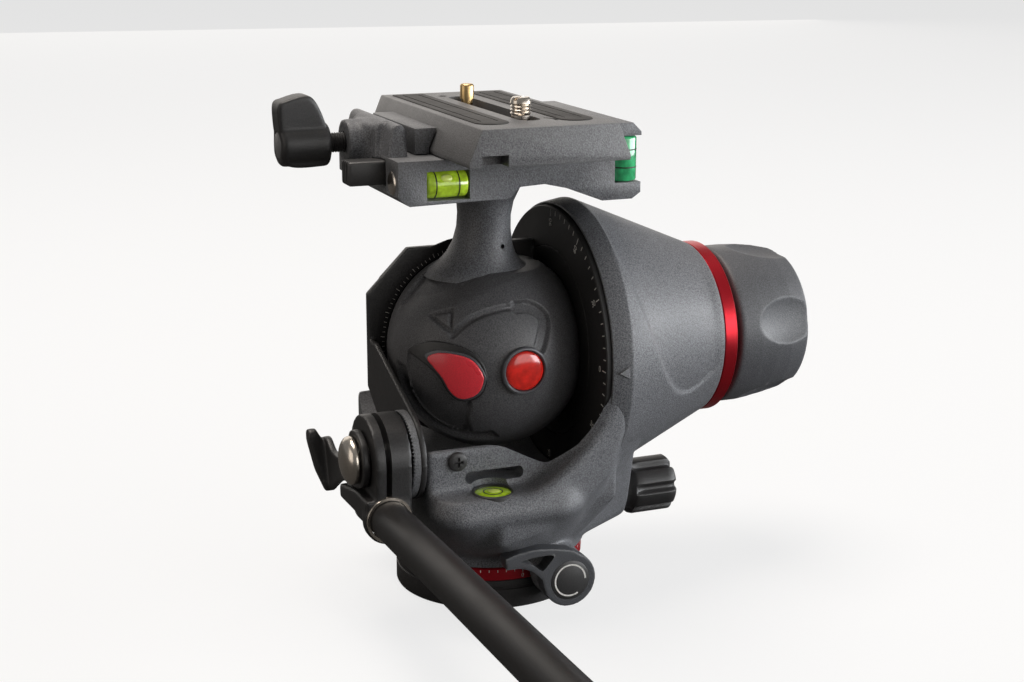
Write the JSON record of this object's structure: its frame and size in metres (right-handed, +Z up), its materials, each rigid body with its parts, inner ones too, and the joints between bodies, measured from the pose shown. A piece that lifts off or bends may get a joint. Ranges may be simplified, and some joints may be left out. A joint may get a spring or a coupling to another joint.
{
  "type": "ball head",
  "caption": "Photo and video tripod head: ball in a tilting carrier with a cone drag unit, pan bar, levels and a sliding camera plate.",
  "frame": {"origin": "centre of the tripod thread's mouth, on the pan axis, in the plane of the base's underside", "axes": "+Z up along the pan axis; +X along the tilt axis toward the cone and the main knob; -Y toward the operator, where the pan bar points"},
  "size_m": [0.177, 0.33, 0.1615],
  "materials": {
    "charcoal": "speckled charcoal paint on a magnesium casting",
    "black_casting": "satin black paint",
    "ball_grey": "fine matte dark grey paint",
    "red_ring": "red anodised, turned",
    "red_plastic": "gloss red moulding",
    "bare_alloy": "turned alloy",
    "steel": "turned steel",
    "nickel": "nickel plate",
    "brass": "turned brass",
    "black_plastic": "moulded black plastic",
    "grey_plastic": "moulded dark grey plastic",
    "white_plastic": "acetal",
    "friction": "friction lining",
    "black_steel": "black oxide steel",
    "bar_black": "black anodised tube",
    "rubber": "moulded rubber",
    "level_green": "clear acrylic with green fluid"
  },
  "bodies": {
    "base": {"base_disc": "charcoal", "pan_axle": "steel", "pan_scale_ring": "red_ring", "pan_washer": "white_plastic", "pan_nut": "steel"},
    "housing": {"housing": "charcoal", "cone_cap": "bare_alloy", "cone_ring": "red_ring", "knob_collar": "black_plastic", "inner_bush": "brass", "outer_bush": "brass", "bullseye_cup": "black_plastic", "bullseye_lens": "level_green", "shelf_screw": "black_steel"},
    "carrier": {"tilt_carrier": "black_casting", "tilt_scale_ring": "black_casting", "tilt_shaft": "steel", "drag_disc": "friction", "rosette": "bare_alloy", "arm_stud": "steel", "dome_nut": "nickel"},
    "ball_unit": {"ball": "ball_grey", "neck": "charcoal", "clamp_body": "charcoal", "front_vial": "level_green", "side_vial": "level_green", "roll_axle": "steel", "roll_nut": "steel", "badge_bezel": "bare_alloy", "badge_dome": "red_plastic", "clamp_plug": "nickel", "button_spring": "steel"},
    "mode_lever": {"mode_lever": "black_plastic", "mode_pin": "steel", "mode_insert": "red_plastic"},
    "roll_lock": {"roll_lock_pad": "white_plastic"},
    "lock_knob": {"lock_knob": "grey_plastic", "knob_spindle": "steel"},
    "brake": {"pressure_plate": "bare_alloy", "brake_lining": "friction"},
    "pan_lock_lever": {"pan_lock_lever": "grey_plastic", "pan_lock_insert": "black_plastic"},
    "pan_lock_pad": {"pan_lock_pad": "white_plastic"},
    "pan_drag_knob": {"pan_drag_knob": "black_plastic", "pan_drag_screw": "steel"},
    "pan_drag_shoe": {"pan_drag_shoe": "white_plastic"},
    "bar_arm": {"bar_arm": "charcoal"},
    "arm_lever": {"arm_lever": "black_plastic"},
    "pan_bar": {"pan_bar": "bar_black", "bar_grip": "rubber"},
    "camera_plate": {"camera_plate": "charcoal", "plate_pads": "rubber"},
    "camera_screw": {"camera_screw": "nickel"},
    "anti_twist_pin": {"anti_twist_pin": "brass"},
    "clamp_knob": {"clamp_knob": "black_plastic", "clamp_screw": "black_steel"},
    "clamp_jaw": {"clamp_jaw": "charcoal"},
    "release_button": {"release_button": "black_plastic"}
  },
  "joints": [
    {"name": "pan", "type": "hinge", "parent": "base", "child": "housing", "pos_m": [0, 0, 0], "axis": [0, 0, 1], "continuous": true},
    {"name": "tilt", "type": "hinge", "parent": "housing", "child": "carrier", "pos_m": [0, 0, 0.0782], "axis": [1, 0, 0], "range_deg": [-60, 90]},
    {"name": "roll", "type": "hinge", "parent": "carrier", "child": "ball_unit", "pos_m": [0, 0, 0.0782], "axis": [0, 1, 0], "range_deg": [-50, 6]},
    {"name": "mode_turn", "type": "hinge", "parent": "ball_unit", "child": "mode_lever", "pos_m": [0, 0, 0.0782], "axis": [-0.5571, -0.8259, -0.0872], "range_deg": [0, 90]},
    {"name": "roll_lock_press", "type": "slide", "parent": "ball_unit", "child": "roll_lock", "axis": [0, 0.866, -0.5], "range_m": [-0.0003, 0]},
    {"name": "lock_turn", "type": "hinge", "parent": "housing", "child": "lock_knob", "pos_m": [0, 0, 0.0782], "axis": [1, 0, 0], "range_deg": [-90, 0]},
    {"name": "brake_press", "type": "slide", "parent": "housing", "child": "brake", "axis": [1, 0, 0], "range_m": [-0.0003, 0]},
    {"name": "pan_lock_turn", "type": "hinge", "parent": "housing", "child": "pan_lock_lever", "pos_m": [0.011, -0.04, 0.0125], "axis": [0, -1, 0], "range_deg": [0, 35]},
    {"name": "pan_lock_press", "type": "slide", "parent": "housing", "child": "pan_lock_pad", "axis": [0, 1, 0], "range_m": [0, 0.0003]},
    {"name": "pan_drag_turn", "type": "hinge", "parent": "housing", "child": "pan_drag_knob", "pos_m": [0.05, 0, 0.024], "axis": [1, 0, 0], "range_deg": [-270, 0]},
    {"name": "pan_drag_press", "type": "slide", "parent": "housing", "child": "pan_drag_shoe", "axis": [1, 0, 0], "range_m": [-0.0003, 0]},
    {"name": "bar_swing", "type": "hinge", "parent": "carrier", "child": "bar_arm", "pos_m": [-0.045, -0.0235, 0.0535], "axis": [1, 0, 0], "range_deg": [-45, 45]},
    {"name": "arm_clamp", "type": "hinge", "parent": "bar_arm", "child": "arm_lever", "pos_m": [-0.045, -0.0235, 0.0535], "axis": [1, 0, 0], "range_deg": [0, 40]},
    {"name": "bar_reach", "type": "slide", "parent": "bar_arm", "child": "pan_bar", "axis": [0, -0.9996, 0.0297], "range_m": [0, 0.03]},
    {"name": "plate_slide", "type": "slide", "parent": "ball_unit", "child": "camera_plate", "axis": [0, 1, 0], "range_m": [-0.015, 0.015]},
    {"name": "screw_slide", "type": "slide", "parent": "camera_plate", "child": "camera_screw", "axis": [0, 1, 0], "range_m": [-0.005, 0.02]},
    {"name": "pin_slide", "type": "slide", "parent": "camera_plate", "child": "anti_twist_pin", "axis": [0, 1, 0], "range_m": [-0.012, 0.006]},
    {"name": "clamp_turn", "type": "hinge", "parent": "ball_unit", "child": "clamp_knob", "pos_m": [-0.058, 0, 0.1462], "axis": [1, 0, 0], "range_deg": [-180, 0]},
    {"name": "jaw_open", "type": "slide", "parent": "ball_unit", "child": "clamp_jaw", "axis": [1, 0, 0], "range_m": [-0.0014, 0]},
    {"name": "button_press", "type": "slide", "parent": "ball_unit", "child": "release_button", "axis": [1, 0, 0], "range_m": [0, 0.003], "stiffness_N_per_m": 400, "deforming": ["button_spring"]}
  ],
  "couplings": [
    {"joint": "mode_turn", "follows": "roll_lock_press", "rad_per_m": -5236},
    {"joint": "lock_turn", "follows": "brake_press", "rad_per_m": 5236},
    {"joint": "pan_lock_turn", "follows": "pan_lock_press", "rad_per_m": 2036.2},
    {"joint": "pan_drag_turn", "follows": "pan_drag_press", "rad_per_m": 15708},
    {"joint": "clamp_turn", "follows": "jaw_open", "rad_per_m": 2244}
  ]
}
